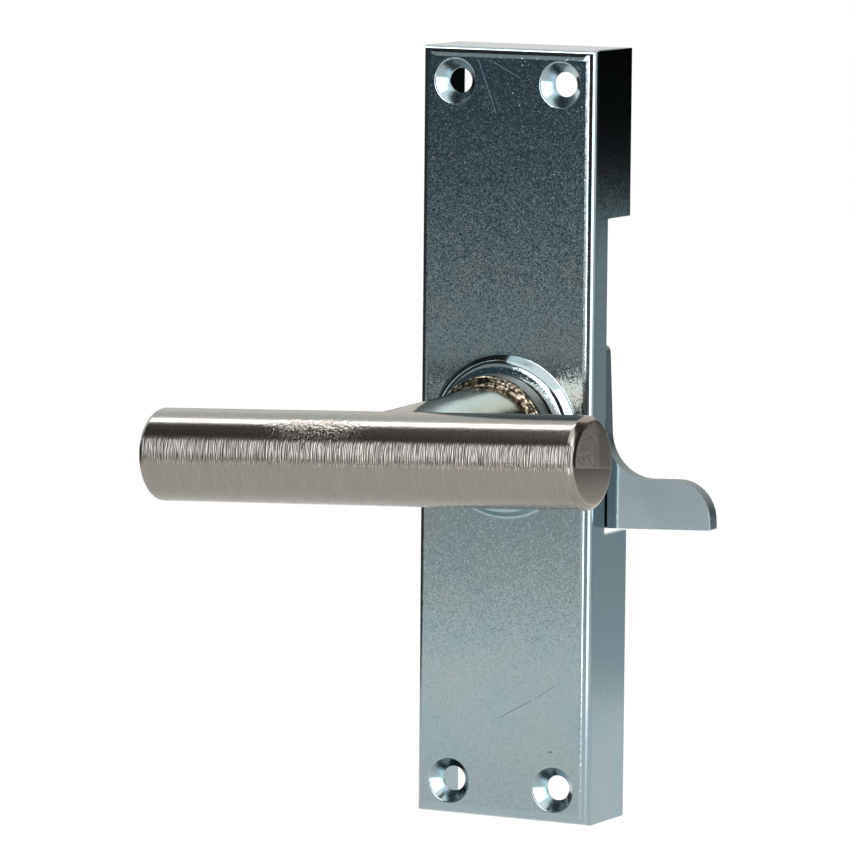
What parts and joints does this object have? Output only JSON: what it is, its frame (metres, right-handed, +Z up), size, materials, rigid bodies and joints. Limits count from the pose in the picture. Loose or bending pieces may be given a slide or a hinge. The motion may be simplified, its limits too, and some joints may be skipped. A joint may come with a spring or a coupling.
{
  "type": "casement fastener",
  "caption": "Surface-mounted casement fastener: folded sheet cover with a bar handle on a spindle that swings a flat latch tongue out through the side.",
  "frame": {"origin": "on the spindle's axis, in the plane of the cover's rear rim", "axes": "+X across the cover towards the side the tongue comes out of, +Y back into the window, +Z up"},
  "size_m": [0.0944, 0.071, 0.152],
  "materials": {
    "zinc_plated_sheet": "sheet steel, bright zinc plated with a blue passivation",
    "zinc_plated_steel": "stamped steel, zinc plated with a blue passivation",
    "satin_nickel": "die casting, nickel plated, the bar brushed round its girth",
    "spindle_steel": "drawn steel, bare, riveted over at the rear",
    "spring_steel": "hardened spring steel, oiled",
    "nylon": "moulded nylon, natural"
  },
  "bodies": {
    "cover": {"cover_plate": "zinc_plated_sheet", "bearing_bush": "nylon", "disc_spring": "spring_steel"},
    "handle": {"lever_handle": "satin_nickel", "square_spindle": "spindle_steel", "spacer_sleeve": "zinc_plated_steel", "latch_tongue": "zinc_plated_steel", "rivet_washer": "zinc_plated_steel"}
  },
  "joints": [
    {"name": "handle_turn", "type": "hinge", "parent": "cover", "child": "handle", "pos_m": [0, 0, 0], "axis": [0, -1, 0], "range_deg": [-2.5, 87.5]}
  ]
}
